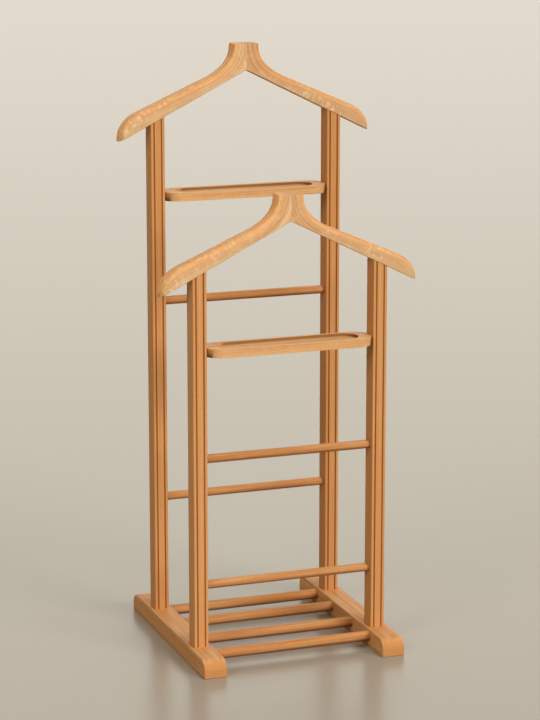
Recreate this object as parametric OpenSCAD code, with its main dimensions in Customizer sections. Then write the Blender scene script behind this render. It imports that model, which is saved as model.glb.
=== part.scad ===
// Wooden valet stand: a tall coat unit behind a low one on a shared pair of feet,
// each unit with a shaped hanger, a valet tray and two trouser bars, and shoe bars below.
// Millimetres, +Z up, +X along the bars, -Y to the front.
// Origin on the floor, at the middle of the two feet.

/* [Overall] */
// Height of the tall rear unit, floor to hanger top
rear_height = 1030; // [900:5:1150]
// Height of the low front unit, floor to hanger top
front_height = 801; // [700:1:860]
// Distance between the centres of a unit's two posts
post_spread = 323; // [300:1:360]
// Y of the centre of the front posts
front_y = -113; // [-140:1:-90]
// Y of the centre of the rear posts
rear_y = 107; // [85:1:140]

/* [Feet] */
// Length of a foot, front to back
foot_length = 406; // [380:2:460]
// Width of a foot
foot_width = 40; // [34:1:50]
// Height of a foot
foot_height = 30.5; // [28:0.5:40]
// Radius of the rounded top corner at each end of a foot
foot_end_radius = 19; // [8:1:24]

/* [Posts] */
// Width of a post, side to side
post_width = 25; // [22:1:32]
// Depth of a post, front to back
post_depth = 30.5; // [28:0.5:36]
// Width of each of the two grooves in a post's front face
groove_width = 2.8; // [1.5:0.1:3.5]
// Depth of each groove
groove_depth = 2; // [1:0.1:3]
// Distance from a post's middle to the middle of each groove
groove_offset = 6.7; // [5:0.1:8]

/* [Hangers] */
// Width of a hanger, tip to tip
hanger_width = 460; // [430:1:490]
// Depth of a hanger, front to back
hanger_depth = 33; // [31:0.5:40]
// Width of the flat top of a hanger's neck
neck_width = 43; // [36:1:50]
// Height from the underside's apex to the top of the neck
neck_height = 45; // [38:1:52]
// Fall of the underside for each millimetre towards the tip
arm_slope = 0.5; // [0.42:0.01:0.55]

/* [Trays] */
// Depth of a tray, front to back
tray_depth = 60; // [46:1:70]
// Thickness of a tray
tray_thickness = 15; // [13:0.5:18]
// Height of the rear tray's top
rear_tray_z = 780; // [740:1:800]
// Height of the front tray's top
front_tray_z = 550.5; // [530:0.5:580]
// Width of the rim around a tray's recess, front and back
tray_rim = 5; // [4:0.5:10]
// Distance from a tray's end to its recess
tray_end_block = 23; // [18:1:40]
// Depth of a tray's recess
recess_depth = 5; // [4.5:0.5:8]

/* [Trouser bars] */
// Diameter of a trouser bar
bar_diameter = 15; // [12:0.5:18]
// Height of the middle of each rear bar, lower then upper
rear_bar_z = [234.5, 588];
// Height of the middle of each front bar, lower then upper
front_bar_z = [136.5, 357.5];

/* [Shoe bars] */
// Diameter of a shoe bar
shoe_bar_diameter = 18; // [14:0.5:20]
// Height of the middle of the shoe bars
shoe_bar_z = 19; // [14:0.5:19]
// Y of each shoe bar, front to back
shoe_bar_y = [-137, -55, 38, 114];

/* [Joinery] */
// Depth of the blind bore that holds each end of a trouser bar
bar_seat = 10; // [6:1:12]
// Diameter of the spigot on each end of a shoe bar
spigot_diameter = 12; // [9:0.5:14]
// Length of that spigot
spigot_length = 12; // [8:1:14]
// Diameter of the hardwood dowels in the hanger and foot joints
dowel_diameter = 8; // [6:1:10]
// Diameter of the dowels that carry a tray
tray_dowel_diameter = 5; // [4:0.5:6]
// Gap all round a dowel, spigot or bar in its bore
bore_gap = 0.1; // [0.05:0.05:0.2]

/* [Hidden] */
$fn = 64;
eps = 1;
post_x = post_spread / 2;
inner_x = post_x - post_width / 2;
foot_inner_x = post_x - foot_width / 2;
half_hanger = hanger_width / 2;
half_neck = neck_width / 2;

// Hanger outline: where the neck's hollow curve starts and ends, the arm's top and its round tip
neck_straight = 8;
neck_flare = 1;
hollow_bend = [4.5, 42.5];
hollow_end = [86, 65];
crown = [186, 108.5];
crown_bend = [6, 14];
tip_drop = neck_height + arm_slope * half_hanger;
tip_nose = 5;
tip_toe = 1.5;

// Dowels between a post's top and its hanger arm, and across a hanger's middle seam
post_dowel_below = 20;
post_dowel_above = 14;
post_dowel_y = 7.5;
seam_dowel_length = 30;
seam_dowel_drop = [13, 33];

// Tray ends: half width of the flat that meets the post, and the dowels through it
tray_flat = 7;
tray_end_radius = tray_depth / 2;
tray_arc_x = inner_x - sqrt(pow(tray_end_radius, 2) - pow(tray_flat, 2));
recess_radius = tray_end_radius - tray_rim;
recess_arc_x = inner_x - tray_end_block - recess_radius;
tray_dowel_y = 4;
tray_dowel_reach = 12;

// Screw from beneath each foot into the post above, and the dowel beside it
screw_diameter = 7;
screw_length = 56;
screw_head_diameter = 10;
screw_head_height = 5;
socket_across = 4;
socket_depth = 3;
counterbore_diameter = 11;
counterbore_depth = 9;
foot_dowel_y = -9.5;
foot_dowel_below = 16;
foot_dowel_above = 18;

wood = [0.82, 0.57, 0.35];
wood_light = [0.87, 0.65, 0.44];
dowel_wood = [0.90, 0.78, 0.58];
steel = [0.70, 0.71, 0.73];

// Height of a hanger's underside at a distance x from the middle
function underside(top, x) = top - neck_height - arm_slope * x;

// Points between a and b on a smooth curve that leaves a towards c and meets b from c
function curve(a, c, b, n) = [
    for (i = [1 : n - 1])
        let (t = i / n)
        a * pow(1 - t, 2) + c * 2 * t * (1 - t) + b * pow(t, 2)
];

// Half of a hanger seen from the front, from its seam out: x outwards, and y down from its top
function arm_outline() = let (
    neck_low = [half_neck + neck_flare, neck_straight],
    hollow_mid = [half_neck + hollow_bend[0], hollow_bend[1]],
    crown_mid = [half_hanger - crown_bend[0], crown[1] + crown_bend[1]],
    nose = [half_hanger, tip_drop - tip_nose],
    toe = [half_hanger - tip_toe, tip_drop - arm_slope * tip_toe]
) concat(
    [[0, 0], [half_neck, 0], neck_low],
    curve(neck_low, hollow_mid, hollow_end, 12),
    [hollow_end, crown],
    curve(crown, crown_mid, nose, 10),
    [nose, toe, [0, neck_height]]
);

// A rod along X between x0 and x1
module rod_x(x0, x1, y, z, d) {
    translate([x0, y, z])
        rotate([0, 90, 0])
            cylinder(d = d, h = x1 - x0);
}

// Stadium outline: two round ends joined by straight sides
module stadium(arc_x, radius) {
    union() {
        square([2 * arc_x, 2 * radius], center = true);
        for (side = [-1, 1])
            translate([side * arc_x, 0])
                circle(r = radius);
    }
}

// Vertical pair of dowels at the top of one post, in the place of either unit
module post_dowel_pair(top, y, gap = 0) {
    seat = underside(top, post_x);
    for (side = [-1, 1])
        translate([post_x, y + side * post_dowel_y, seat - post_dowel_below - gap])
            cylinder(d = dowel_diameter + 2 * gap, h = post_dowel_below + post_dowel_above + 2 * gap);
}

// Dowels across the seam in the middle of a hanger
module seam_dowel_pair(top, y, gap = 0) {
    reach = seam_dowel_length / 2 + gap;
    for (drop = seam_dowel_drop)
        rod_x(-reach, reach, y, top - drop, dowel_diameter + 2 * gap);
}

// Dowels from one post's inner face into a tray's end
module tray_dowel_pair(top, y, gap = 0) {
    reach = tray_dowel_reach + gap;
    for (side = [-1, 1])
        rod_x(inner_x - reach, inner_x + reach, y + side * tray_dowel_y,
              top - tray_thickness / 2 - 1, tray_dowel_diameter + 2 * gap);
}

module foot_dowel(y, gap = 0) {
    translate([post_x, y + foot_dowel_y, foot_height - foot_dowel_below - gap])
        cylinder(d = dowel_diameter + 2 * gap, h = foot_dowel_below + foot_dowel_above + 2 * gap);
}

// Screw that stands in a counterbore under the foot, with its hexagon socket
module foot_screw(y) {
    translate([post_x, y + 4, counterbore_depth - screw_head_height])
        difference() {
            union() {
                cylinder(d = screw_head_diameter, h = screw_head_height);
                cylinder(d = screw_diameter, h = screw_length);
            }
            translate([0, 0, -eps])
                cylinder(d = socket_across * 2 / sqrt(3), h = socket_depth + eps, $fn = 6);
        }
}

// Side view of a foot: y along it, z up
module foot_side() {
    r = foot_end_radius;
    intersection() {
        translate([-foot_length / 2, 0])
            square([foot_length, foot_height]);
        union() {
            translate([-foot_length / 2, 0])
                square([foot_length, foot_height - r]);
            translate([-foot_length / 2 + r, 0])
                square([foot_length - 2 * r, foot_height]);
            for (side = [-1, 1])
                translate([side * (foot_length / 2 - r), foot_height - r])
                    circle(r = r);
        }
    }
}

// The foot on the +X side
module foot() {
    color(wood)
        difference() {
            translate([foot_inner_x, 0, 0])
                rotate([90, 0, 90])
                    linear_extrude(foot_width)
                        foot_side();
            for (y = shoe_bar_y)
                rod_x(foot_inner_x - eps, foot_inner_x + spigot_length,
                      y, shoe_bar_z, spigot_diameter + 2 * bore_gap);
            for (y = [front_y, rear_y]) {
                translate([post_x, y + 4, -eps])
                    cylinder(d = counterbore_diameter, h = counterbore_depth + eps);
                translate([post_x, y + 4, 0])
                    cylinder(d = screw_diameter + 2 * bore_gap, h = foot_height + eps);
                foot_dowel(y, bore_gap);
            }
        }
}

// The post on the +X side of the unit at y; the groove pair is in its front face
module post(top, y, bars, tray_top) {
    seat_in = underside(top, inner_x);
    seat_out = underside(top, inner_x + post_width);
    color(wood)
        difference() {
            translate([0, y + post_depth / 2, 0])
                rotate([90, 0, 0])
                    linear_extrude(post_depth)
                        polygon([
                            [inner_x, foot_height], [inner_x + post_width, foot_height],
                            [inner_x + post_width, seat_out], [inner_x, seat_in]
                        ]);
            for (side = [-1, 1])
                translate([post_x + side * groove_offset - groove_width / 2,
                           y - post_depth / 2 - eps, foot_height - eps])
                    cube([groove_width, groove_depth + eps, seat_in]);
            for (z = bars)
                rod_x(inner_x - eps, inner_x + bar_seat, y, z, bar_diameter + 2 * bore_gap);
            tray_dowel_pair(tray_top, y, bore_gap);
            post_dowel_pair(top, y, bore_gap);
            foot_dowel(y, bore_gap);
            translate([post_x, y + 4, foot_height - eps])
                cylinder(d = screw_diameter + 2 * bore_gap,
                         h = counterbore_depth - screw_head_height + screw_length - foot_height + 2 * eps);
        }
}

// The hanger arm on the +X side
module hanger_arm(top, y) {
    color(wood_light)
        difference() {
            translate([0, y - hanger_depth / 2, top])
                rotate([-90, 0, 0])
                    linear_extrude(hanger_depth)
                        polygon(arm_outline());
            post_dowel_pair(top, y, bore_gap);
            seam_dowel_pair(top, y, bore_gap);
        }
}

module tray(top, y) {
    color(wood)
        difference() {
            translate([0, y, top - tray_thickness])
                difference() {
                    linear_extrude(tray_thickness)
                        intersection() {
                            stadium(tray_arc_x, tray_end_radius);
                            square([2 * inner_x, tray_depth + eps], center = true);
                        }
                    translate([0, 0, tray_thickness - recess_depth])
                        linear_extrude(recess_depth + eps)
                            stadium(recess_arc_x, recess_radius);
                }
            for (side = [0, 1])
                mirror([side, 0, 0])
                    tray_dowel_pair(top, y, bore_gap);
        }
}

module trouser_bar(y, z) {
    reach = inner_x + bar_seat;
    color(wood)
        rod_x(-reach, reach, y, z, bar_diameter);
}

module shoe_bar(y) {
    reach = foot_inner_x + spigot_length;
    color(wood)
        union() {
            rod_x(-foot_inner_x, foot_inner_x, y, shoe_bar_z, shoe_bar_diameter);
            rod_x(-reach, reach, y, shoe_bar_z, spigot_diameter);
        }
}

// A child and its mirror image on the other side
module both_sides() {
    for (side = [0, 1])
        mirror([side, 0, 0])
            children();
}

module left_side() {
    mirror([1, 0, 0])
        children();
}

module post_top_dowels() {
    color(dowel_wood)
        both_sides() {
            post_dowel_pair(front_height, front_y);
            post_dowel_pair(rear_height, rear_y);
        }
}

module hanger_seam_dowels() {
    color(dowel_wood) {
        seam_dowel_pair(front_height, front_y);
        seam_dowel_pair(rear_height, rear_y);
    }
}

module tray_dowels() {
    color(dowel_wood)
        both_sides() {
            tray_dowel_pair(front_tray_z, front_y);
            tray_dowel_pair(rear_tray_z, rear_y);
        }
}

module foot_screws() {
    color(steel)
        both_sides() {
            foot_screw(front_y);
            foot_screw(rear_y);
        }
}

module foot_dowels() {
    color(dowel_wood)
        both_sides() {
            foot_dowel(front_y);
            foot_dowel(rear_y);
        }
}

module front_post() {
    post(front_height, front_y, front_bar_z, front_tray_z);
}

module rear_post() {
    post(rear_height, rear_y, rear_bar_z, rear_tray_z);
}

left_side() foot();  // left_foot
foot();  // right_foot
left_side() front_post();  // front_left_post
front_post();  // front_right_post
left_side() rear_post();  // rear_left_post
rear_post();  // rear_right_post
left_side() hanger_arm(front_height, front_y);  // front_hanger_left_arm
hanger_arm(front_height, front_y);  // front_hanger_right_arm
left_side() hanger_arm(rear_height, rear_y);  // rear_hanger_left_arm
hanger_arm(rear_height, rear_y);  // rear_hanger_right_arm
tray(front_tray_z, front_y);  // front_tray
tray(rear_tray_z, rear_y);  // rear_tray
trouser_bar(front_y, front_bar_z[0]);  // front_lower_bar
trouser_bar(front_y, front_bar_z[1]);  // front_upper_bar
trouser_bar(rear_y, rear_bar_z[0]);  // rear_lower_bar
trouser_bar(rear_y, rear_bar_z[1]);  // rear_upper_bar
shoe_bar(shoe_bar_y[0]);  // shoe_bar_1
shoe_bar(shoe_bar_y[1]);  // shoe_bar_2
shoe_bar(shoe_bar_y[2]);  // shoe_bar_3
shoe_bar(shoe_bar_y[3]);  // shoe_bar_4
post_top_dowels();
hanger_seam_dowels();
tray_dowels();
foot_screws();
foot_dowels();
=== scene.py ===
"""Looks of a wooden valet stand: a tall coat unit behind a low one, on a shared pair of feet.

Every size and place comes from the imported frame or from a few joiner's sizes kept in the
classes below. All lengths are in metres. +X runs along the bars, -Y is the front, +Z is up.
"""

import logging
import math
import random
from dataclasses import dataclass
from enum import Enum
from typing import Callable, Iterable

import bmesh
import bpy
from bmesh.types import BMEdge, BMesh, BMFace, BMVert
from bpy.types import Material, Node, NodeSocket, Object
from mathutils import Matrix, Vector

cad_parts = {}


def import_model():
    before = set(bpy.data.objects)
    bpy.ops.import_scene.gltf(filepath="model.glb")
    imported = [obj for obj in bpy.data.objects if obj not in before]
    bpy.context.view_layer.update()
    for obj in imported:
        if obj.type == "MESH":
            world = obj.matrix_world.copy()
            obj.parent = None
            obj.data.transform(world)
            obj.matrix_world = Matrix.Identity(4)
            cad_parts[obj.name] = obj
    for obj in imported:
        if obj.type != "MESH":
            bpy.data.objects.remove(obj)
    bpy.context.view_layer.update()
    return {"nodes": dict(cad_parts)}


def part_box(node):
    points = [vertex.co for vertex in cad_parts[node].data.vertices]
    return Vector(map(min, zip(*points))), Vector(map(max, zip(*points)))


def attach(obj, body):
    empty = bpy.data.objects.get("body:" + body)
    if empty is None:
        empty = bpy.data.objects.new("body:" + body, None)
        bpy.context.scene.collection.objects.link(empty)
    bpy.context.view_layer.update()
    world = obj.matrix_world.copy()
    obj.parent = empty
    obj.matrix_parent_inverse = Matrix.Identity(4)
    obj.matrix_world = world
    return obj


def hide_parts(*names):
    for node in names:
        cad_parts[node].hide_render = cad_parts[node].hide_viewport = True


LOG = logging.getLogger("valet_stand")
MM = 0.001
TINY = MM / 10
BODY = "root"
UNITS = ("front", "rear")
GRAIN = "grain"
# tone: each board's own tone, with painted light and shade multiplied in
TONE = "tone"
END = "end_grain"
# painted tint: a warmer, deeper colour for the painted shade in the posts' grooves and the painted
# sheen on the hangers' outer sides
PAINTED_TINT = "warm"
FIGURE = "figure"


class Side(Enum):
    """Which half of the stand a piece belongs to; the value is the sign of its X."""

    LEFT = -1
    RIGHT = 1


class Run(Enum):
    """Which way a board's grain runs; the value is the axis number."""

    X = 0
    Y = 1
    Z = 2


# ---- grain and mesh helpers


@dataclass(frozen=True)
class Board:
    """A board that a straight piece is cut from, which fixes where its rings and streaks fall."""

    run: Run
    seed: int
    pith: float = 0.055
    lean: float = 0.012
    tone: float = 1.0

    def coordinate(self, point: Vector) -> Vector:
        """Turns a place on the piece into a place in the board.

        Args:
            point: place on the piece, in the stand's frame.

        Returns:
            Distance along the grain, and two distances across it measured from the pith.
        """
        dice = random.Random(self.seed)
        start, angle = dice.uniform(0.0, 9.0), dice.uniform(0.0, math.tau)
        along = point[self.run.value]
        across, depth = (point[i] for i in range(3) if i != self.run.value)
        away = self.pith * dice.uniform(0.7, 1.3)
        tilt = self.lean * dice.uniform(-1.0, 1.0)
        return Vector((
            along + start,
            across + away * math.cos(angle) + tilt * along,
            depth + away * math.sin(angle) - tilt * along,
        ))


def clamp(value: float) -> float:
    """Returns a value held between 0 and 1."""
    return min(1.0, max(0.0, value))


def smooth(share: float) -> float:
    """Returns a share from 0 to 1 with its two ends eased."""
    return share * share * (3.0 - 2.0 * share)


def only(kind: type, items: Iterable) -> list:
    """Returns the vertices, edges or faces among what an operator made."""
    return [item for item in items if isinstance(item, kind)]


def facing(normal: Vector, fibre: Vector) -> float:
    """Says how much of a surface is end grain.

    Args:
        normal: direction that the surface faces.
        fibre: direction of the grain there.

    Returns:
        0 on a side of the board, rising smoothly to 1 on its cut end.
    """
    side_grain, end_grain = 0.35, 0.95
    return smooth(clamp((abs(normal.dot(fibre)) - side_grain) / (end_grain - side_grain)))


def mark_board(bm: BMesh, board: Board) -> None:
    """Stores each vertex's grain coordinate, its share of end grain and its board's tone.

    Args:
        bm: mesh of the piece.
        board: the board that the piece is cut from.
    """
    grain = bm.verts.layers.float_vector.new(GRAIN)
    tone = bm.verts.layers.float.new(TONE)
    end = bm.verts.layers.float.new(END)
    fibre = Vector([float(axis == board.run.value) for axis in range(3)])
    bmesh.ops.recalc_face_normals(bm, faces=bm.faces)
    bm.normal_update()
    for vert in bm.verts:
        vert[grain] = board.coordinate(vert.co)
        vert[tone] = board.tone
        vert[end] = facing(vert.normal, fibre)


def ease(bm: BMesh, chosen: Callable[[BMEdge], bool], radius: float,
         segments: int = 4) -> None:
    """Rounds over the chosen edges.

    Args:
        bm: mesh of the piece.
        chosen: says whether an edge is to be rounded.
        radius: radius of the round, in metres.
        segments: number of flats that make the round.
    """
    edges = [edge for edge in bm.edges if chosen(edge)]
    bmesh.ops.bevel(
        bm, geom=edges, offset=radius, offset_type="OFFSET", segments=segments, profile=0.5,
        affect="EDGES", clamp_overlap=True, material=-1,
    )


def crisp(edge: BMEdge, least: float = 60.0) -> bool:
    """Says whether an edge is a corner of at least so many degrees."""
    return len(edge.link_faces) == 2 and edge.calc_face_angle(0.0) > math.radians(least)


def saw(bm: BMesh, place: tuple, waste: tuple) -> None:
    """Saws an end off flat and closes the cut.

    Args:
        bm: mesh of the piece.
        place: a point on the cut.
        waste: direction of the end that falls off.
    """
    cut = bmesh.ops.bisect_plane(
        bm, geom=list(bm.verts) + list(bm.edges) + list(bm.faces), plane_co=place,
        plane_no=waste, clear_outer=True)
    bmesh.ops.holes_fill(bm, edges=only(BMEdge, cut["geom_cut"]))


def drill(obj: Object, holes: Iterable[tuple[Vector, float, float]]) -> None:
    """Bores round vertical holes up into a finished piece.

    Args:
        obj: the piece to bore.
        holes: for each hole the middle of its mouth, its radius and its depth.
    """
    bm = bmesh.new()
    for mouth, radius, depth in holes:
        reach = depth + MM
        bmesh.ops.create_cone(
            bm, cap_ends=True, segments=40, radius1=radius, radius2=radius, depth=reach,
            matrix=Matrix.Translation(mouth + Vector((0.0, 0.0, reach / 2 - MM))),
        )
    mesh = bpy.data.meshes.new("drill_bit")
    bm.to_mesh(mesh)
    bm.free()
    bit = bpy.data.objects.new("drill_bit", mesh)
    bpy.context.scene.collection.objects.link(bit)
    cut = obj.modifiers.new("bore", "BOOLEAN")
    cut.operation, cut.solver, cut.object = "DIFFERENCE", "EXACT", bit
    graph = bpy.context.evaluated_depsgraph_get()
    bored = bpy.data.meshes.new_from_object(obj.evaluated_get(graph))
    obj.modifiers.clear()
    obj.data = bored
    bpy.data.objects.remove(bit)


def make_piece(name: str, node: str, bm: BMesh, finish: "Finish",
               sharp: float = 50.0) -> Object:
    """Turns a mesh into a finished piece that stands for a CAD node.

    Args:
        name: name of the piece.
        node: CAD node that it replaces.
        bm: its mesh, which is used up.
        finish: what it is dressed in.
        sharp: corners of more degrees than this stay crisp.

    Returns:
        The new object.
    """
    bmesh.ops.recalc_face_normals(bm, faces=bm.faces)
    for face in bm.faces:
        face.smooth = True
    mesh = bpy.data.meshes.new(name)
    bm.to_mesh(mesh)
    bm.free()
    mesh.set_sharp_from_angle(angle=math.radians(sharp))
    mesh.materials.append(finish.material())
    obj = bpy.data.objects.new(name, mesh)
    bpy.context.scene.collection.objects.link(obj)
    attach(obj, BODY)
    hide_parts(node)
    LOG.info("%s: %d faces", name, len(mesh.polygons))
    return obj


def even_normals(obj: Object) -> Object:
    """Keeps the flats of a piece flat in the light, with only its rounds shaded round."""
    weigh = obj.modifiers.new("even_normals", "WEIGHTED_NORMAL")
    weigh.mode, weigh.weight, weigh.keep_sharp = "FACE_AREA", 50, True
    return obj


# ---- finishes


@dataclass(frozen=True)
class Pattern:
    """A noise that is stretched along the grain, and the range of it that shows."""

    stretch: tuple
    detail: float
    rough: float
    low: float
    high: float


WAVES = Pattern((190.0, 75.0, 75.0), 3.0, 0.6, 0.48, 0.66)
PATCHES = Pattern((9.0, 60.0, 30.0), 1.0, 0.5, 0.42, 0.60)
HAIRS = Pattern((30.0, 1500.0, 1500.0), 2.0, 0.5, 0.42, 0.62)
FLECKS = Pattern((260.0, 1700.0, 1700.0), 1.0, 0.5, 0.62, 0.72)
CLOUDS = Pattern((75.0, 55.0, 55.0), 3.0, 0.6, 0.44, 0.64)
BLUSHES = Pattern((30.0, 60.0, 60.0), 1.0, 0.5, 0.40, 0.60)
FIBRES = Pattern((600.0, 600.0, 40.0), 3.0, 0.6, 0.35, 0.65)


class Nodes:
    """A short way to wire up one material."""

    def __init__(self, name: str) -> None:
        """Starts a material with a lone Principled shader.

        Args:
            name: name of the material.
        """
        self.material = bpy.data.materials.new(name)
        self.material.use_nodes = True
        self.tree = self.material.node_tree
        self.shader = self.tree.nodes["Principled BSDF"]

    def add(self, kind: str, inputs: dict | None = None, **settings) -> Node:
        """Adds a node.

        Args:
            kind: Blender's name for the node type.
            inputs: socket name or number to a value, or to the socket that feeds it.
            settings: properties of the node.

        Returns:
            The new node.
        """
        node = self.tree.nodes.new(kind)
        for key, value in settings.items():
            setattr(node, key, value)
        for key, value in (inputs or {}).items():
            if isinstance(value, NodeSocket):
                self.tree.links.new(value, node.inputs[key])
            else:
                node.inputs[key].default_value = value
        return node

    def math(self, operation: str, *values) -> NodeSocket:
        """Adds a Math node on the values and returns its result."""
        return self.add("ShaderNodeMath", dict(enumerate(values)), operation=operation).outputs[0]

    def stretch(self, vector: NodeSocket, scale: tuple) -> NodeSocket:
        """Scales a coordinate by a vector and returns it."""
        return self.add(
            "ShaderNodeVectorMath", {0: vector, 1: scale}, operation="MULTIPLY").outputs[0]

    def value(self, name: str) -> NodeSocket:
        """Returns the number that the piece's mesh stores under a name."""
        return self.add("ShaderNodeAttribute", attribute_name=name).outputs["Fac"]

    def times(self, *values) -> NodeSocket:
        """Multiplies two or more values and returns the product."""
        product = values[0]
        for factor in values[1:]:
            product = self.math("MULTIPLY", product, factor)
        return product

    def noise(self, vector: NodeSocket, detail: float,
              rough: float) -> NodeSocket:
        """Adds a noise of unit scale on a coordinate and returns its value."""
        node = self.add("ShaderNodeTexNoise", {
            "Vector": vector, "Scale": 1.0, "Detail": detail, "Roughness": rough})
        return node.outputs["Fac"]

    def ramp(self, value: NodeSocket, low: float, high: float) -> NodeSocket:
        """Stretches low..high to 0..1, smoothly, and returns it."""
        node = self.add("ShaderNodeMapRange", {
            "Value": value, "From Min": low, "From Max": high}, interpolation_type="SMOOTHSTEP")
        return node.outputs["Result"]

    def pattern(self, vector: NodeSocket, pattern: Pattern) -> NodeSocket:
        """Lays a pattern on a coordinate and returns its share, from 0 to 1."""
        noise = self.noise(self.stretch(vector, pattern.stretch), pattern.detail, pattern.rough)
        return self.ramp(noise, pattern.low, pattern.high)

    def mix(self, share, one, two, blend: str = "MIX") -> NodeSocket:
        """Mixes two colours and returns the result."""
        node = self.add("ShaderNodeMix", data_type="RGBA", blend_type=blend)
        for socket, value in ((0, share), (6, one), (7, two)):
            if isinstance(value, NodeSocket):
                self.tree.links.new(value, node.inputs[socket])
            else:
                node.inputs[socket].default_value = value
        return node.outputs[2]


def rgba(red: float, green: float, blue: float) -> tuple[float, float, float, float]:
    """Turns a screen colour into a linear one.

    Args:
        red: screen red, from 0 to 255.
        green: screen green.
        blue: screen blue.

    Returns:
        The linear colour with full alpha.
    """
    def linear(value: float) -> float:
        """Linear value of one screen channel."""
        share = value / 255.0
        return share / 12.92 if share <= 0.04045 else ((share + 0.055) / 1.055) ** 2.4
    return (linear(red), linear(green), linear(blue), 1.0)


@dataclass(frozen=True)
class Finish:
    """Something that a piece can be dressed in."""

    name: str
    slot: str

    def material(self) -> Material:
        """Returns the finish's material, which is made the first time."""
        return bpy.data.materials.get(self.name) or self.build()

    def build(self) -> Material:
        """Makes the material."""
        raise NotImplementedError


@dataclass(frozen=True)
class Beech(Finish):
    """Steamed beech under a satin lacquer, with rings, streaks, ray flecks and cloudy figure."""

    pale: tuple = (234, 183, 125)
    body: tuple = (224, 165, 106)
    deep: tuple = (190, 120, 62)
    pink: tuple = (226, 162, 114)
    glow: tuple = (252, 222, 184)
    painted_tint_colour: tuple = (1.06, 0.88, 0.68, 1.0)
    tone_powers: tuple = (0.85, 1.0, 1.2)
    ring_gap: float = 4.6 * MM
    ring_wander: float = 9.0
    ring_depth: float = 0.30
    band_edge: float = 0.13
    streak_count: float = 330.0
    streak_range: tuple = (0.38, 0.64)
    streak_depth: float = 0.42
    hair_depth: float = 0.16
    blush_depth: float = 0.25
    cloud_depth: float = 0.20
    flame_depth: float = 0.0
    fleck_depth: float = 0.35
    fleck_shade: float = 0.72
    end_depth: float = 0.45
    end_cover: float = 0.8
    figure_cover: float = 0.65
    figure_light: float = 0.32
    roughness: float = 0.48
    streak_roughness: float = 0.10
    gloss: float = 0.13
    coat: float = 0.04
    coat_roughness: float = 0.28
    streak_relief: float = 0.6
    fleck_relief: float = 0.8
    relief_strength: float = 0.35
    relief_height: float = 0.12 * MM

    def build(self) -> Material:
        """Makes the lacquered beech.

        Returns:
            The material, which follows each piece's own grain coordinate.
        """
        made = Nodes(self.name)
        grain = made.add("ShaderNodeAttribute", attribute_name=GRAIN).outputs["Vector"]
        tone, end, warm, figure = (made.value(name) for name in (TONE, END, PAINTED_TINT, FIGURE))
        fine = self.streak_count
        streak = made.pattern(grain, Pattern((5.0, fine, fine), 3.0, 0.6, *self.streak_range))
        fleck = made.pattern(grain, FLECKS)
        side = made.math("MULTIPLY_ADD", end, -self.end_cover, 1.0)
        plain = made.math("MULTIPLY_ADD", figure, -self.figure_cover, side)
        flame = made.times(made.pattern(grain, WAVES), made.pattern(grain, PATCHES), figure)
        band = Pattern((2.0, 120.0, 120.0), 2.0, 0.5, 0.5 - self.band_edge, 0.5 + self.band_edge)
        broad = made.times(made.pattern(grain, band), plain)
        light = made.math("MULTIPLY_ADD", figure, self.figure_light, broad)
        colour = made.mix(light, rgba(*self.body), rgba(*self.pale))
        speck = tuple(channel * self.fleck_shade for channel in self.deep)
        layers = (
            (made.times(streak, plain, self.streak_depth), self.deep),
            (made.times(self.rings(made, grain), plain, self.ring_depth), self.deep),
            (made.times(made.pattern(grain, CLOUDS), side, self.cloud_depth), self.pale),
            (made.times(made.pattern(grain, BLUSHES), self.blush_depth), self.pink),
            (made.times(flame, self.flame_depth), self.glow),
            (made.times(made.pattern(grain, HAIRS), side, self.hair_depth), self.deep),
            (made.times(end, self.end_depth), self.deep),
            (made.times(fleck, self.fleck_depth), speck),
        )
        for share, paint in layers:
            colour = made.mix(share, colour, rgba(*paint))
        # painted tint, for the painted shade in grooves and the painted sheen on the hangers' outer
        # sides
        painted_tinted = made.mix(1.0, colour, self.painted_tint_colour, blend="MULTIPLY")
        colour = made.mix(made.ramp(warm, 0.0, 1.0), colour, painted_tinted)
        # the tone multiplies in painted light and shade as well as each board's own tone
        channels = {i: made.math("POWER", tone, power) for i, power in enumerate(self.tone_powers)}
        shade = made.add("ShaderNodeCombineXYZ", channels).outputs[0]
        colour = made.mix(1.0, colour, shade, blend="MULTIPLY")
        made.tree.links.new(colour, made.shader.inputs["Base Color"])
        self.lacquer(made, streak, fleck)
        return made.material

    def rings(self, made: Nodes, grain: NodeSocket) -> NodeSocket:
        """Draws the growth rings, which wander a little along the board.

        Args:
            made: the material's nodes.
            grain: the grain coordinate.

        Returns:
            The share of late wood, from 0 to 1.
        """
        wander = made.noise(made.stretch(grain, (3.0, 30.0, 30.0)), 2.0, 0.5)
        parts = made.add("ShaderNodeSeparateXYZ", {0: grain})
        across, depth = parts.outputs[1], parts.outputs[2]
        radius = made.math(
            "SQRT", made.math("ADD", made.times(across, across), made.times(depth, depth)))
        phase = made.math("ADD", made.times(radius, math.tau / self.ring_gap),
                          made.times(wander, self.ring_wander))
        return made.ramp(made.math("SINE", phase), -0.2, 1.0)

    def lacquer(self, made: Nodes, streak: NodeSocket,
                fleck: NodeSocket) -> None:
        """Gives the wood its satin lacquer and a faint relief.

        Args:
            made: the material's nodes.
            streak: share of open streaks, which are a little rougher and lower.
            fleck: share of ray flecks, which are a little lower.
        """
        rough = made.math("ADD", self.roughness, made.times(streak, self.streak_roughness))
        relief = made.math("ADD", made.times(streak, -self.streak_relief),
                           made.times(fleck, -self.fleck_relief))
        bump = made.add("ShaderNodeBump", {
            "Strength": self.relief_strength, "Distance": self.relief_height, "Height": relief})
        made.tree.links.new(rough, made.shader.inputs["Roughness"])
        made.tree.links.new(bump.outputs[0], made.shader.inputs["Normal"])
        made.shader.inputs["IOR"].default_value = 1.5
        made.shader.inputs["Specular IOR Level"].default_value = self.gloss
        made.shader.inputs["Coat Weight"].default_value = self.coat
        made.shader.inputs["Coat Roughness"].default_value = self.coat_roughness


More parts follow.
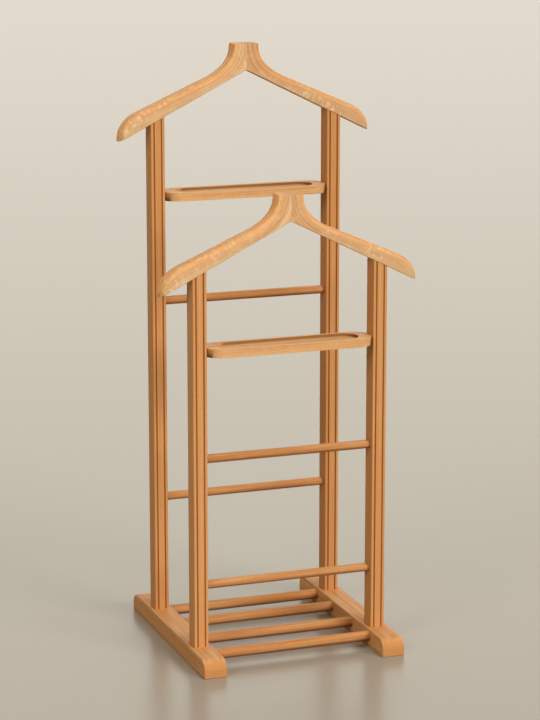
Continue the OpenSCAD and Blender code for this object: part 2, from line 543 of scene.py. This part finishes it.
@dataclass(frozen=True)
class BareDowel(Finish):
    """Unlacquered hardwood of the hidden dowels."""

    def build(self) -> Material:
        """Makes the bare wood."""
        made = Nodes(self.name)
        place = made.add("ShaderNodeTexCoord").outputs["Object"]
        wood = made.mix(made.pattern(place, FIBRES), rgba(222, 190, 142), rgba(196, 158, 108))
        made.tree.links.new(wood, made.shader.inputs["Base Color"])
        made.shader.inputs["Roughness"].default_value = 0.7
        return made.material


@dataclass(frozen=True)
class ZincPlate(Finish):
    """Zinc plating on the foot screws."""

    def build(self) -> Material:
        """Makes the plated steel."""
        made = Nodes(self.name)
        place = made.add("ShaderNodeTexCoord").outputs["Object"]
        cloud = made.noise(made.stretch(place, (500.0, 500.0, 500.0)), 3.0, 0.6)
        plate = made.mix(cloud, rgba(168, 170, 172), rgba(206, 208, 210))
        made.tree.links.new(plate, made.shader.inputs["Base Color"])
        rough = made.math("ADD", 0.28, made.times(cloud, 0.2))
        made.tree.links.new(rough, made.shader.inputs["Roughness"])
        made.shader.inputs["Metallic"].default_value = 1.0
        return made.material


FRAME_WOOD = Beech("frame_beech", "frame_wood")
BAR_WOOD = Beech(
    "bar_beech", "frame_wood", pale=(240, 196, 140), body=(220, 158, 98), deep=(176, 104, 52),
    ring_depth=0.2, streak_depth=0.75, streak_count=200.0, streak_range=(0.45, 0.57),
    band_edge=0.08)
TRAY_WOOD = Beech("tray_beech", "frame_wood", pale=(240, 196, 140), body=(231, 178, 122),
                  deep=(200, 139, 84), pink=(234, 178, 130))
HANGER_WOOD = Beech(
    "hanger_beech", "hanger_wood", pale=(235, 203, 158), body=(214, 163, 111), deep=(190, 128, 75),
    pink=(226, 172, 131), ring_gap=6.0 * MM, ring_depth=0.34, streak_depth=0.35,
    cloud_depth=0.35, blush_depth=0.4, flame_depth=0.75, band_edge=0.09)


# ---- sub-assemblies


@dataclass
class Foot:
    """One of the two long feet, with its ends rounded over at the top."""

    side: Side
    end_radius: float = 19.0 * MM
    edge_radius: float = 1.8 * MM
    bore_radius: float = 5.5 * MM
    bore_depth: float = 9.0 * MM
    screw_offset: float = 4.0 * MM
    tone: float = 0.96

    @property
    def node(self) -> str:
        """Name of the CAD node."""
        return f"{self.side.name.lower()}_foot"

    def build(self) -> Object:
        """Shapes the foot, bores it from beneath for its screws and dresses it."""
        low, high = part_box(self.node)
        bm = bmesh.new()
        place = Matrix.Translation((low + high) / 2) @ Matrix.Diagonal((*(high - low), 1.0))
        bmesh.ops.create_cube(bm, size=1.0, matrix=place)
        ease(bm, lambda edge: all(abs(vert.co.z - high.z) < TINY for vert in edge.verts)
             and abs(edge.verts[0].co.y - edge.verts[1].co.y) < TINY, self.end_radius, 16)
        ease(bm, crisp, self.edge_radius, 4)
        ease(bm, lambda edge: crisp(edge, 40.0), self.edge_radius / 2, 2)
        mark_board(bm, Board(Run.Y, 11 + self.side.value, pith=0.045, tone=self.tone))
        obj = make_piece(f"{self.node}_shaped", self.node, bm, FRAME_WOOD)
        drill(obj, self.screw_holes())
        return even_normals(obj)

    def screw_holes(self) -> list[tuple[Vector, float, float]]:
        """Returns the counterbore under each post: its mouth, radius and depth."""
        holes = []
        for unit in UNITS:
            low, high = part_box(f"{unit}_{self.side.name.lower()}_post")
            mouth = Vector(((low.x + high.x) / 2, (low.y + high.y) / 2 + self.screw_offset, 0.0))
            holes.append((mouth, self.bore_radius, self.bore_depth))
        return holes


@dataclass
class Post:
    """One upright, with two grooves down its front and its top cut to the hanger's slope."""

    unit: str
    side: Side
    groove_offset: float = 6.7 * MM
    groove_width: float = 2.8 * MM
    groove_depth: float = 2.0 * MM
    groove_round: float = 0.42
    lip_radius: float = 0.35 * MM
    groove_shade_tone: float = 0.62
    groove_shade_tint: float = 0.9
    edge_radius: float = 1.5 * MM
    slope: float = 0.5
    spare: float = 5.0 * MM

    @property
    def node(self) -> str:
        """Name of the CAD node."""
        return f"{self.unit}_{self.side.name.lower()}_post"

    @property
    def board(self) -> Board:
        """The board that the post is cut from: the tall pair's is darker with painted shade, the
        left pair's paler.
        """
        rear = self.unit == "rear"
        # the tall pair's lower tone is painted shade
        tone = (0.92 if rear else 0.98) + (0.05 if self.side is Side.LEFT else 0.0)
        seed = 23 + 7 * self.side.value + (3 if rear else 0)
        return Board(Run.Z, seed, pith=0.06, lean=0.008, tone=tone)

    def shade_grooves(self, bm: BMesh, low: Vector, high: Vector) -> None:
        """Paints shade into the bottoms of the grooves, making them darker and redder.

        Args:
            bm: mesh of the post.
            low: lowest corner of the post.
            high: highest corner of the post.
        """
        warm = bm.verts.layers.float.new(PAINTED_TINT)
        tone = bm.verts.layers.float[TONE]
        middle = (low.x + high.x) / 2
        for vert in bm.verts:
            sunk = vert.co.y - low.y
            off = abs(abs(vert.co.x - middle) - self.groove_offset)
            if MM / 2 < sunk < self.groove_depth + MM / 5 and off < self.groove_width * 0.55:
                # painted shade: the groove bottoms are darkened and reddened
                vert[tone] *= self.groove_shade_tone
                vert[warm] = self.groove_shade_tint

    def outline(self, low: Vector, high: Vector) -> list[tuple[float, float]]:
        """Gives the corners of the post's plan.

        Args:
            low: lowest corner of the post.
            high: highest corner of the post.

        Returns:
            X and Y of each corner, round from the front left.
        """
        middle, half = (low.x + high.x) / 2, self.groove_width / 2
        corners = [(low.x, low.y)]
        for groove in (middle - self.groove_offset, middle + self.groove_offset):
            floor = low.y + self.groove_depth
            corners += [(groove - half, low.y), (groove - half, floor),
                        (groove + half, floor), (groove + half, low.y)]
        return corners + [(high.x, low.y), (high.x, high.y), (low.x, high.y)]

    def build(self) -> Object:
        """Extrudes the plan, cuts the top, rounds the grooves and dresses the post."""
        low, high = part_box(self.node)
        bm = bmesh.new()
        base = bm.faces.new([bm.verts.new((x, y, low.z)) for x, y in self.outline(low, high)])
        grown = bmesh.ops.extrude_face_region(bm, geom=[base])["geom"]
        bmesh.ops.translate(bm, verts=only(BMVert, grown),
                            vec=(0.0, 0.0, high.z - low.z + self.spare))
        inner = low.x if self.side is Side.RIGHT else high.x
        saw(bm, (inner, 0.0, high.z), (self.slope * self.side.value, 0.0, 1.0))
        floor = low.y + self.groove_depth

        def upright(edge: BMEdge) -> bool:
            """Says whether an edge runs up the post."""
            first, last = (vert.co for vert in edge.verts)
            return abs(first.x - last.x) < TINY and abs(first.y - last.y) < TINY

        def at(edge: BMEdge, y: float) -> bool:
            """Says whether an upright edge stands at a distance y."""
            return upright(edge) and abs(edge.verts[0].co.y - y) < TINY

        def corner(edge: BMEdge) -> bool:
            """Says whether an edge is one of the post's four outer corners."""
            x = edge.verts[0].co.x
            return upright(edge) and min(abs(x - low.x), abs(x - high.x)) < TINY

        ease(bm, lambda edge: at(edge, floor), self.groove_width * self.groove_round, 4)
        ease(bm, lambda edge: at(edge, low.y) and not corner(edge), self.lip_radius, 2)
        ease(bm, corner, self.edge_radius, 4)
        mark_board(bm, self.board)
        self.shade_grooves(bm, low, high)
        return even_normals(make_piece(f"{self.node}_grooved", self.node, bm, FRAME_WOOD))


@dataclass
class Bar:
    """A round bar along X, either a trouser bar or a shoe bar."""

    node: str
    seed: int
    tone: float
    under_shade: float
    under_start: float = 0.6
    top_painted_light: float = 0.15

    def build(self) -> Object:
        """Turns the bar and dresses it, with painted shade beneath and painted light along its top.
        """
        low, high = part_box(self.node)
        middle, radius = (low + high) / 2, (high.z - low.z) / 2
        bm = bmesh.new()
        bmesh.ops.create_cone(
            bm, cap_ends=True, segments=56, radius1=radius, radius2=radius, depth=high.x - low.x,
            matrix=Matrix.Translation(middle) @ Matrix.Rotation(math.pi / 2, 4, "Y"))
        mark_board(bm, Board(Run.X, self.seed, pith=0.03, lean=0.02, tone=self.tone))
        tone = bm.verts.layers.float[TONE]
        for vert in bm.verts:
            # painted shade darkens the underside and painted light brightens the top
            rise = (vert.co.z - middle.z) / radius
            vert[tone] *= 1.0 - self.under_shade * smooth(clamp(-rise / self.under_start))
            vert[tone] *= 1.0 + self.top_painted_light * max(0.0, rise)
        return make_piece(f"{self.node}_turned", self.node, bm, BAR_WOOD)


@dataclass
class Tray:
    """A round-ended shelf with a round-ended recess routed into its top."""

    unit: str
    rim: float = 5.0 * MM
    end_block: float = 23.0 * MM
    flat: float = 7.0 * MM
    recess_depth: float = 5.0 * MM
    edge_radius: float = 3.0 * MM
    lip_radius: float = 1.0 * MM
    floor_radius: float = 1.2 * MM
    wall_shade_tone: float = 0.38
    recess_end_shade_tone: float = 0.82
    end_turn: tuple = (0.92, 0.98)
    joint_shadow_tone: float = 0.07
    joint_shadow_reach: float = 6.5 * MM
    joint_shadow_slant: float = 3.0 * MM
    joint_shadow_edge: float = 3.0
    left_painted_light: float = 0.12

    @property
    def node(self) -> str:
        """Name of the CAD node."""
        return f"{self.unit}_tray"

    @property
    def board(self) -> Board:
        """The board that the tray is cut from: the tall unit's is a little darker."""
        if self.unit == "rear":
            return Board(Run.X, 5, pith=0.05, tone=0.94)
        return Board(Run.X, 6, pith=0.05)

    def build(self) -> Object:
        """Shapes the tray from a circle that is pulled apart, routs the recess and dresses it."""
        low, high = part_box(self.node)
        middle = (low + high) / 2
        radius = (high.y - low.y) / 2
        half = (high.x - low.x) / 2
        arc_x = half - math.sqrt(radius ** 2 - self.flat ** 2)
        recess_x = half - self.end_block - (radius - self.rim)
        bm = bmesh.new()
        turn = Matrix.Rotation(math.pi / 64, 4, "Z")
        bmesh.ops.create_circle(bm, cap_ends=True, segments=64, radius=radius, matrix=turn)
        for vert in bm.verts:
            vert.co.x += math.copysign(arc_x, vert.co.x)
            vert.co += Vector((0.0, middle.y, low.z))
        grown = bmesh.ops.extrude_face_region(bm, geom=bm.faces[:])["geom"]
        bmesh.ops.translate(bm, verts=only(BMVert, grown),
                            vec=(0.0, 0.0, high.z - low.z))
        bm.faces.ensure_lookup_table()
        top = max(bm.faces, key=lambda face: face.calc_center_median().z)
        bmesh.ops.inset_region(bm, faces=[top], thickness=self.rim, use_even_offset=True)
        for vert in top.verts:
            vert.co.x += math.copysign(arc_x - recess_x, -vert.co.x)
        sunk = bmesh.ops.extrude_face_region(bm, geom=[top])["geom"]
        bmesh.ops.delete(bm, geom=[top], context="FACES")
        bmesh.ops.translate(bm, verts=only(BMVert, sunk),
                            vec=(0.0, 0.0, -self.recess_depth))
        bmesh.ops.inset_region(bm, faces=only(BMFace, sunk),
                               thickness=2 * self.floor_radius)
        for side in (-1.0, 1.0):
            saw(bm, (side * half, 0.0, 0.0), (side, 0.0, 0.0))
        floor = high.z - self.recess_depth

        def level(edge: BMEdge, z: float) -> bool:
            """Says whether a crisp edge lies at a height."""
            return crisp(edge) and all(abs(vert.co.z - z) < TINY for vert in edge.verts)

        def inside(edge: BMEdge) -> bool:
            """Says whether an edge belongs to the recess."""
            return all(abs(vert.co.y - middle.y) < radius - self.rim + TINY
                       and abs(vert.co.x) < half - self.end_block + TINY for vert in edge.verts)

        def touching(edge: BMEdge) -> bool:
            """Says whether an edge lies on the flat that meets a post."""
            return all(abs(abs(vert.co.x) - half) < TINY for vert in edge.verts)

        ease(bm, lambda edge: level(edge, floor) and inside(edge), self.floor_radius, 4)
        ease(bm, lambda edge: level(edge, high.z) and inside(edge), self.lip_radius, 3)
        ease(bm, lambda edge: (level(edge, high.z) or level(edge, low.z))
             and not inside(edge) and not touching(edge), self.edge_radius, 5)
        mark_board(bm, self.board)
        self.shade(bm, recess_x, low, high)
        return even_normals(make_piece(f"{self.node}_routed", self.node, bm, TRAY_WOOD))

    def shade(self, bm: BMesh, recess_x: float, low: Vector, high: Vector) -> None:
        """Paints shade into the recess's walls, except round its left end where they stay lit, and
        paints a contact shadow on the ends by the posts.

        The board also gets painted light, growing a little paler towards its left end.

        Args:
            bm: mesh of the tray.
            recess_x: distance from the middle to the centre of the recess's round end.
            low: lowest corner of the tray.
            high: its highest corner.
        """
        middle, size = (low + high) / 2, high - low
        tone = bm.verts.layers.float[TONE]
        wall = size.y / 2 - self.rim
        start, stop = self.end_turn
        for vert in bm.verts:
            across, drop = vert.co.y - middle.y, high.z - vert.co.z
            off = math.hypot(max(0.0, abs(vert.co.x) - recess_x), across)
            in_recess = self.lip_radius / 2 < drop < self.recess_depth + 2 * TINY
            # painted shade on the recess's walls, lighter round the left end
            if in_recess and wall - 1.1 * self.floor_radius < off < wall + 2 * TINY:
                turned = abs(across) / max(off, MM)
                share = clamp((turned - start) / (stop - start)) if vert.co.x < 0.0 else 1.0
                vert[tone] *= self.recess_end_shade_tone + (self.wall_shade_tone - self.recess_end_shade_tone) * share
            # painted contact shadow on the ends where the tray meets the posts
            if drop > self.edge_radius / 2:
                reach = self.joint_shadow_reach + self.joint_shadow_slant * drop / size.z
                near = clamp(self.joint_shadow_edge * (1.0 - (high.x - abs(vert.co.x)) / reach))
                vert[tone] *= 1.0 - (1.0 - self.joint_shadow_tone) * near
            # painted light: the tray grows paler towards its left end
            vert[tone] *= 1.0 + self.left_painted_light * (middle.x - vert.co.x) / size.x


@dataclass(frozen=True)
class Station:
    """One cross-section of a hanger arm.

    Its two ends, out and into, are distances out from the seam and down from the neck's top. Along
    is the way from the neck, and steep is how steeply the outline falls there.
    """

    out: Vector
    into: Vector
    inset: float
    sink: float
    along: float
    steep: float


@dataclass
class HangerArm:
    """Half of a hanger: a neck that flows into an arm with a round-nosed tip."""

    unit: str
    side: Side
    neck_half: float = 21.5 * MM
    neck_flare: float = 1.0 * MM
    neck_straight: float = 8.0 * MM
    neck_height: float = 45.0 * MM
    slope: float = 0.5
    hollow_bend: tuple = (4.5 * MM, 42.5 * MM)
    hollow_end: tuple = (86.0 * MM, 65.0 * MM)
    crown: tuple = (186.0 * MM, 108.5 * MM)
    crown_bend: tuple = (6.0 * MM, 14.0 * MM)
    nose_rise: float = 5.0 * MM
    toe_inset: float = 1.5 * MM
    neck_radius: float = 1.6 * MM
    shoulder_radius: float = 8.0 * MM
    under_radius: float = 1.6 * MM
    seam_radius: float = 0.35 * MM
    outer_share: float = 0.46
    under_share: float = 0.2
    toe_bend: float = 1.5 * MM
    top_round: tuple = ((0.8 * MM, 0.0), (0.23 * MM, 0.23 * MM), (0.0, 0.8 * MM))
    glint: float = 0.16
    side_painted_light: float = 0.32
    steep_start: float = 0.55
    neck_lift: float = 0.10
    painted_tint_reach: float = 14.0 * MM
    figure_start: float = 55.0 * MM
    fan: float = 42.0 * MM
    fan_way: tuple = (0.526, 0.851)
    seam_spread: float = 0.85
    neck_steps: int = 4
    hollow_steps: int = 30
    arm_steps: int = 16
    nose_steps: int = 26
    toe_steps: int = 5
    rounding: int = 7

    @property
    def node(self) -> str:
        """Name of the CAD node."""
        return f"{self.unit}_hanger_{self.side.name.lower()}_arm"

    @property
    def tone(self) -> float:
        """Tone of the arm's board: the two boards of a hanger don't quite match."""
        paler = 0.05 if self.unit == "front" else 0.0
        return (1.0 if self.side is Side.LEFT else 0.91) + paler

    def outer(self, half: float) -> list[Vector]:
        """Gives the upper outline of the arm.

        Args:
            half: distance from the seam to the tip.

        Returns:
            Points as distance out from the seam and distance down from the neck's top.
        """
        def bend(start: Vector, pull: Vector, end: Vector, count: int) -> list[Vector]:
            """Points of a smooth curve that leaves start towards pull and ends at end."""
            return [start * (1 - t) ** 2 + pull * 2 * t * (1 - t) + end * t ** 2
                    for t in (i / count for i in range(1, count + 1))]

        neck = Vector((self.neck_half + self.neck_flare, self.neck_straight))
        hollow = Vector(self.hollow_end)
        crown = Vector(self.crown)
        tip_drop = self.neck_height + self.slope * half
        nose = Vector((half, tip_drop - self.nose_rise))
        toe = Vector((half - self.toe_inset, tip_drop - self.slope * self.toe_inset))
        top = Vector((self.neck_half, 0.0))
        hollow_pull = Vector((self.neck_half + self.hollow_bend[0], self.hollow_bend[1]))
        crown_pull = Vector((half - self.crown_bend[0], crown.y + self.crown_bend[1]))
        toe_pull = Vector((half, toe.y - self.toe_bend))
        points = [top + (neck - top) * (i / self.neck_steps) for i in range(self.neck_steps + 1)]
        points += bend(neck, hollow_pull, hollow, self.hollow_steps)
        points += [hollow + (crown - hollow) * (i / self.arm_steps)
                   for i in range(1, self.arm_steps + 1)]
        points += bend(crown, crown_pull, nose, self.nose_steps)
        points += bend(nose, toe_pull, toe, self.toe_steps)
        return points

    def inner(self, outer: list[Vector]) -> list[Vector]:
        """Pairs each point of the upper outline with one on the seam or the underside.

        Args:
            outer: points of the upper outline.

        Returns:
            As many points, down the seam to the apex and then out along the underside.
        """
        apex = Vector((0.0, self.neck_height))
        under = Vector((1.0, self.slope)).normalized()
        turn = min(range(len(outer)), key=lambda i: abs(
            (outer[i] - apex).normalized().dot(Vector(self.fan_way))))
        lag = (outer[turn] - apex).dot(under)
        pairs = []
        for index, point in enumerate(outer):
            if index <= turn:
                share = index / turn
                pairs.append(Vector((0.0, self.neck_height * share ** self.seam_spread)))
            else:
                reach = (point - apex).dot(under)
                left = max(0.0, 1.0 - (reach - lag) / self.fan)
                pairs.append(apex + under * (reach - lag * left ** 2))
        return pairs

    def section(self, length: float, depth: float, outer_radius: float,
                inner_radius: float) -> list[tuple[float, float, float]]:
        """Gives a cross-section: a rectangle with a different round at the top and bottom.

        Args:
            length: from the inner side to the outer side.
            depth: front to back.
            outer_radius: radius of the two outer corners.
            inner_radius: radius of the two inner corners.

        Returns:
            For each corner point its distance from the inner side, its Y from the middle, and
            how far it faces outwards, from 0 to 1.
        """
        points = []
        corners = ((1, -1, -90.0), (1, 1, 0.0), (0, 1, 90.0), (0, -1, 180.0))
        for out, back, start in corners:
            radius = outer_radius if out else inner_radius
            centre = (length - radius if out else radius, back * (depth / 2 - radius))
            for step in range(self.rounding + 1):
                angle = math.radians(start + 90.0 * step / self.rounding)
                points.append((centre[0] + radius * math.cos(angle),
                               centre[1] + radius * math.sin(angle),
                               max(0.0, math.cos(angle)) if out else 0.0))
        return points

    def stations(self, half: float) -> list[Station]:
        """Lists the cross-sections of the arm, from the neck's top to the tip.

        Args:
            half: distance from the seam to the tip.

        Returns:
            The cross-sections in order; the first few round over the neck's top.
        """
        outer = self.outer(half)
        inner = self.inner(outer)
        ends = [(outer[0], inner[0], inset, sink) for inset, sink in self.top_round]
        ends += [(out, into, 0.0, 0.0) for out, into in zip(outer[2:], inner[2:])]
        stations, along, last = [], 0.0, outer[0]
        for out, into, inset, sink in ends:
            step = out - last
            along += step.length
            steep = abs(step.y) / step.length if step.length else 1.0
            stations.append(Station(out, into, inset, sink, along, steep))
            last = out
        return stations

    def shape_ring(self, bm: BMesh, ring: list[BMVert],
                   station: Station, shift: Vector, box: tuple[Vector, Vector]) -> None:
        """Moves a loop to its cross-section and stores how the wood looks there, including its
        painted highlight and painted light.

        Args:
            bm: mesh of the arm.
            ring: the loop's vertices, in order.
            station: the cross-section.
            shift: where the arm lies in its board.
            box: the arm's lowest and highest corners.
        """
        low, high = box
        half, depth, middle = max(abs(low.x), abs(high.x)), high.y - low.y, (low.y + high.y) / 2
        nose_radius = depth / 2
        tone, warm, figure = (bm.verts.layers.float[name] for name in (TONE, PAINTED_TINT, FIGURE))
        grain = bm.verts.layers.float_vector[GRAIN]
        across = station.out - station.into
        length = across.length
        way = across.normalized() if length > MM / 100 else Vector((0.0, -1.0))
        drop = min(1.0, station.out.y / self.neck_height)
        corner = self.neck_radius + (self.shoulder_radius - self.neck_radius) * drop
        under = self.seam_radius if station.into.x < TINY else self.under_radius
        worn = clamp(station.along / self.figure_start - 1.0)
        # painted highlight on the left neck's front corner, and painted light on the arm's steep
        # outer sides
        glint = 4.0 * self.glint * (1.0 - drop) if self.side is Side.LEFT else 0.0
        lift = self.side_painted_light * max(
            0.0, (station.steep - self.steep_start) / (1.0 - self.steep_start))
        points = self.section(length - station.inset, depth - 2 * station.inset,
                              min(corner, self.outer_share * length),
                              min(under, self.under_share * length))
        for vert, (reach, y, outward) in zip(ring, points):
            flat = station.into + way * reach
            past = clamp((flat.x - (half - nose_radius)) / nose_radius)
            vert.co = Vector((self.side.value * flat.x, middle + y * math.sqrt(1.0 - past ** 2),
                              high.z - flat.y - station.sink))
            vert[grain] = shift + Vector((station.along, length - reach, y))
            vert[tone] = self.tone * (1.0 + glint * outward * (1.0 - outward)
                                      + lift * outward + self.neck_lift * (1.0 - worn))
            # painted sheen: a warmer colour on the outer band of the arm
            vert[warm] = 1.0 - (length - reach) / self.painted_tint_reach
            vert[figure] = worn

    def build(self) -> Object:
        """Lofts the arm from its neck to its tip by extruding one loop again and again."""
        low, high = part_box(self.node)
        bm = bmesh.new()
        bm.verts.layers.float_vector.new(GRAIN)
        for name in (TONE, END, PAINTED_TINT, FIGURE):
            bm.verts.layers.float.new(name)
        end = bm.verts.layers.float[END]
        dice = random.Random(self.node)
        shift = Vector((dice.uniform(0.0, 9.0), dice.uniform(0.02, 0.05), dice.uniform(0.0, 0.03)))
        bmesh.ops.create_circle(bm, cap_ends=False, segments=4 * (self.rounding + 1), radius=MM)
        ring, ring_edges = bm.verts[:], bm.edges[:]
        top_edges = list(ring_edges)
        for number, station in enumerate(self.stations(max(abs(low.x), abs(high.x)))):
            if number:
                grown = bmesh.ops.extrude_edge_only(bm, edges=ring_edges)["geom"]
                ring_edges = [edge for edge in only(BMEdge, grown)
                              if not edge.link_faces[1:]]
                ring = self.follow(ring, grown)
            self.shape_ring(bm, ring, station, shift, (low, high))
            for vert in ring:
                vert[end] = 0.0 if number else 1.0
        bmesh.ops.holes_fill(bm, edges=top_edges)
        bmesh.ops.holes_fill(bm, edges=ring_edges)
        bmesh.ops.remove_doubles(bm, verts=bm.verts, dist=TINY / 5)
        return even_normals(
            make_piece(f"{self.node}_carved", self.node, bm, HANGER_WOOD, sharp=40.0))

    @staticmethod
    def follow(ring: list[BMVert], grown: list) -> list[BMVert]:
        """Finds the new vertex that each vertex of a loop was extruded to.

        Args:
            ring: the loop's vertices, in order.
            grown: what the extrusion made.

        Returns:
            The new loop's vertices, in the same order.
        """
        fresh = set(only(BMVert, grown))
        return [next(edge.other_vert(vert) for edge in vert.link_edges
                     if edge.other_vert(vert) in fresh) for vert in ring]


@dataclass
class Hardware:
    """The joiner's hidden dowels and screws, kept as the frame has them."""

    dowels: tuple = ("post_top_dowels", "hanger_seam_dowels", "tray_dowels", "foot_dowels")
    screws: tuple = ("foot_screws",)

    def dress(self, nodes: dict) -> None:
        """Gives the dowels and screws their finish.

        Args:
            nodes: the frame's objects by node name.
        """
        for names, finish in ((self.dowels, BareDowel("bare_dowel", "dowel_wood")),
                              (self.screws, ZincPlate("zinc_plate", "zinc_steel"))):
            for name in names:
                slots = nodes[name].data.materials
                slots.clear()
                slots.append(finish.material())
                LOG.info("%s dressed in %s", name, finish.name)


# ---- studio


@dataclass(frozen=True)
class Sun:
    """A far, soft light, with its direction from the stand.

    Spread is how wide it looks in degrees, strength is in watts a square metre, tint is linear, and
    glare says whether glossy things mirror it.
    """

    name: str
    towards: tuple
    spread: float
    strength: float
    tint: tuple
    glare: bool = True

    def hang(self) -> None:
        """Hangs the light."""
        data = bpy.data.lights.new(self.name, "SUN")
        data.angle, data.energy, data.color = math.radians(self.spread), self.strength, self.tint
        light = bpy.data.objects.new(self.name, data)
        light.location = Vector(self.towards).normalized() * 3.0
        light.rotation_euler = Vector(self.towards).to_track_quat("Z", "Y").to_euler()
        light.visible_glossy = self.glare
        bpy.context.scene.collection.objects.link(light)


@dataclass
class Studio:
    """Plain pale floor, soft lights and the camera."""

    suns: tuple = (
        Sun("key_light", (0.42, -0.83, 0.38), 30.0, 2.20, (1.0, 0.98, 0.95), glare=False),
        Sun("top_light", (0.05, -0.10, 0.99), 25.0, 0.70, (1.0, 0.98, 0.95)),
        Sun("left_fill", (-0.70, -0.45, 0.50), 25.0, 0.75, (1.0, 0.96, 0.80), glare=False),
        Sun("back_fill", (0.25, 0.90, 0.35), 60.0, 0.90, (1.0, 0.97, 0.90)),
    )
    sky: tuple = (232, 215, 184)
    sky_strength: float = 0.26
    floor: tuple = (166, 160, 149)
    floor_roughness: float = 0.25
    target: tuple = (8.1 * MM, -3.0 * MM, 492.7 * MM)
    distance: float = 4.416
    azimuth: float = -20.1
    elevation: float = 12.785
    lens: float = 127.58
    floor_size: float = 40.0

    def lay_floor(self) -> None:
        """Lays the floor."""
        bm = bmesh.new()
        bmesh.ops.create_grid(bm, x_segments=1, y_segments=1, size=self.floor_size / 2)
        mesh = bpy.data.meshes.new("studio_floor")
        bm.to_mesh(mesh)
        bm.free()
        made = Nodes("studio_floor_paint")
        made.shader.inputs["Base Color"].default_value = rgba(*self.floor)
        made.shader.inputs["Roughness"].default_value = self.floor_roughness
        mesh.materials.append(made.material)
        floor = bpy.data.objects.new("studio_floor", mesh)
        bpy.context.scene.collection.objects.link(floor)

    def light(self) -> None:
        """Hangs a key at the front right, a light overhead, weak fills and a pale sky."""
        for sun in self.suns:
            sun.hang()
        world = bpy.data.worlds.new("studio_sky")
        world.use_nodes = True
        sky = world.node_tree.nodes["Background"]
        sky.inputs["Color"].default_value = rgba(*self.sky)
        sky.inputs["Strength"].default_value = self.sky_strength
        bpy.context.scene.world = world
        bpy.context.scene.view_settings.view_transform = "Standard"

    def set_camera(self) -> None:
        """Puts the camera where the stand is seen from its front left, a little from above."""
        turn, rise = math.radians(self.azimuth), math.radians(self.elevation)
        back = Vector((math.sin(turn) * math.cos(rise), -math.cos(turn) * math.cos(rise),
                       math.sin(rise)))
        data = bpy.data.cameras.new("studio_camera")
        data.sensor_fit, data.sensor_width, data.lens = "AUTO", 36.0, self.lens
        data.clip_end = 100.0
        camera = bpy.data.objects.new("studio_camera", data)
        camera.location = Vector(self.target) + back * self.distance
        camera.rotation_euler = (-back).to_track_quat("-Z", "Y").to_euler()
        bpy.context.scene.collection.objects.link(camera)
        bpy.context.scene.camera = camera


def main() -> None:
    """Builds every sub-assembly around the frame, then the studio."""
    logging.basicConfig(level=logging.INFO, format="%(message)s")
    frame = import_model()
    studio = Studio()
    studio.set_camera()
    for side in Side:
        Foot(side).build()
        for unit in UNITS:
            Post(unit, side).build()
            HangerArm(unit, side).build()
    for number, unit in enumerate(UNITS):
        Tray(unit).build()
        tone = 0.95 if unit == "rear" else 0.88
        for level, place in enumerate(("lower", "upper")):
            seed = 40 + 2 * number + level
            Bar(f"{unit}_{place}_bar", seed, tone, under_shade=0.35).build()
    for number in range(1, 5):
        Bar(f"shoe_bar_{number}", 50 + number, 0.83, under_shade=0.52).build()
    Hardware().dress(frame["nodes"])
    studio.lay_floor()
    studio.light()


if __name__ == "__main__":
    main()
